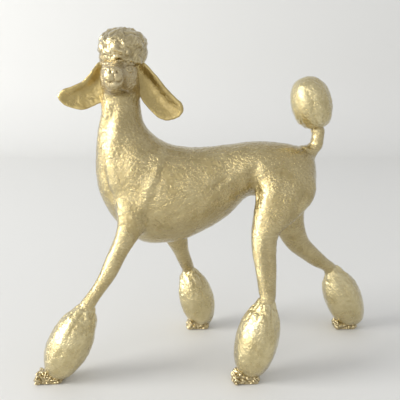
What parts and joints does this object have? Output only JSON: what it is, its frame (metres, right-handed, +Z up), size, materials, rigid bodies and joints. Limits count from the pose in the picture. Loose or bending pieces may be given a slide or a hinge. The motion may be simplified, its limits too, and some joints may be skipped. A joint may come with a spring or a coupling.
{
  "type": "dog figurine",
  "caption": "Standing clipped poodle figurine: hollow body, head turned to its left, domed topknot, flared ears, egg-shaped pompoms on legs and raised tail, gold leaf finish.",
  "frame": {"origin": "on the surface the paws stand on, below the middle of the figurine's box", "axes": "+Z up; the dog's chest faces -X and its left side faces -Y; its head is turned to look towards -Y"},
  "size_m": [0.2905, 0.1338, 0.28],
  "materials": {
    "gold_coat": "pale gold leaf, finely crinkled, satin",
    "gold_face": "pale gold leaf, darkened in the hollows",
    "gold_curls": "pale gold leaf over coarse modelled curls",
    "gold_ears": "warmer gold leaf, smoother",
    "gold_pompoms": "pale gold leaf, smooth with fine crinkles"
  },
  "bodies": {
    "root": {"body_shell": "gold_coat", "head": "gold_face", "topknot": "gold_curls", "ear_left": "gold_ears", "ear_right": "gold_ears", "foreleg_left": "gold_coat", "foreleg_right": "gold_coat", "hindleg_left": "gold_coat", "hindleg_right": "gold_coat", "foreleg_pompom_left": "gold_pompoms", "foreleg_pompom_right": "gold_pompoms", "hindleg_pompom_left": "gold_pompoms", "hindleg_pompom_right": "gold_pompoms", "forepaw_left": "gold_face", "forepaw_right": "gold_face", "hindpaw_left": "gold_face", "hindpaw_right": "gold_face", "tail_stem": "gold_coat", "tail_pompom": "gold_pompoms"}
  },
  "joints": []
}
